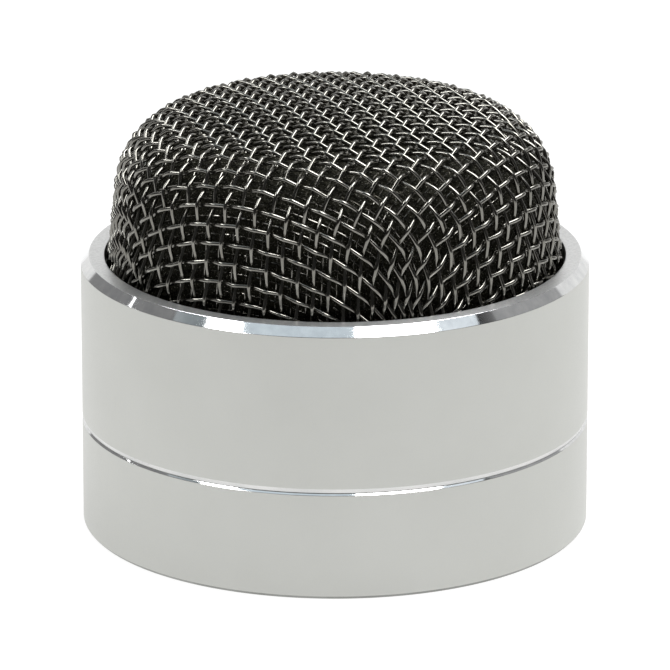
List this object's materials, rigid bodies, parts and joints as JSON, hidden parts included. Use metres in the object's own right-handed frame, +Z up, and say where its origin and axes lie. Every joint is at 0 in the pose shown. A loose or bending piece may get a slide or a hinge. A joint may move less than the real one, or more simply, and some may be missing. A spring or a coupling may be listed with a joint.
{
  "type": "car tweeter",
  "caption": "Surface-standing car tweeter pod: turned aluminium two-piece cylinder with a domed woven-wire grille over a soft dome driver; the upper shell unscrews.",
  "frame": {"origin": "centre of the circular base, on the surface that it stands on", "axes": "+Z up along the housing's axis, out through the grille; -Y is the front, +Y the side with the cable inlet in the floor"},
  "size_m": [0.05, 0.05, 0.0427],
  "materials": {
    "satin_aluminium": "satin anodised silver, polished chamfers",
    "black_nickel_wire": "glossy black nickel plating on woven wire",
    "black_foam": "open-cell foam, dull",
    "black_rubber": "moulded, satin",
    "black_plastic": "moulded, fine texture",
    "coated_silk": "coated woven silk, slightly tacky sheen",
    "polyimide": "amber film",
    "copper": "bare copper, enamelled on the winding",
    "zinc_steel": "clear zinc plated, turned",
    "nickel_magnet": "bright nickel plated",
    "grey_felt": "pressed felt",
    "fibre_board": "brown laminate with solder pads",
    "capacitor_sleeve": "shrunk sleeve",
    "brass": "machined",
    "red_insulation": "wire insulation",
    "black_insulation": "wire insulation",
    "black_screw": "black oxide"
  },
  "bodies": {
    "base": {"base_cup": "satin_aluminium", "housing_o_ring": "black_rubber", "driver_frame": "black_plastic", "surround": "coated_silk", "copper_cap": "copper", "pole_plate": "zinc_steel", "magnet": "nickel_magnet", "yoke_cup": "zinc_steel", "top_plate": "zinc_steel", "felt_damper": "grey_felt", "driver_screw_1": "black_screw", "driver_screw_2": "black_screw", "driver_screw_3": "black_screw", "crossover_board": "fibre_board", "crossover_capacitor": "capacitor_sleeve", "terminal_tab_positive": "brass", "terminal_tab_negative": "brass", "board_screw_1": "black_screw", "board_screw_2": "black_screw", "lead_wire_positive": "red_insulation", "lead_wire_negative": "black_insulation", "cable_grommet": "black_rubber", "stud_insert": "brass", "mounting_pad": "black_foam"},
    "grille_insert": {"mesh_grille": "black_nickel_wire", "grille_liner": "black_foam", "grille_clamp_ring": "black_plastic", "front_gasket": "black_foam"},
    "bezel": {"front_housing": "satin_aluminium", "snap_ring": "zinc_steel"},
    "diaphragm": {"silk_dome": "coated_silk", "voice_coil_former": "polyimide", "voice_coil_winding": "copper"}
  },
  "joints": [
    {"name": "bezel_turn", "type": "hinge", "parent": "grille_insert", "child": "bezel", "pos_m": [0, 0, 0.0108], "axis": [0, 0, 1], "range_deg": [0, 1440]},
    {"name": "grille_lift", "type": "slide", "parent": "base", "child": "grille_insert", "axis": [0, 0, 1], "range_m": [0, 0.004]},
    {"name": "diaphragm_excursion", "type": "slide", "parent": "base", "child": "diaphragm", "axis": [0, 0, 1], "range_m": [-0.0004, 0.0004], "stiffness_N_per_m": 2000, "deforming": ["surround"]}
  ],
  "couplings": [
    {"joint": "bezel_turn", "follows": "grille_lift", "rad_per_m": 6283.2}
  ]
}
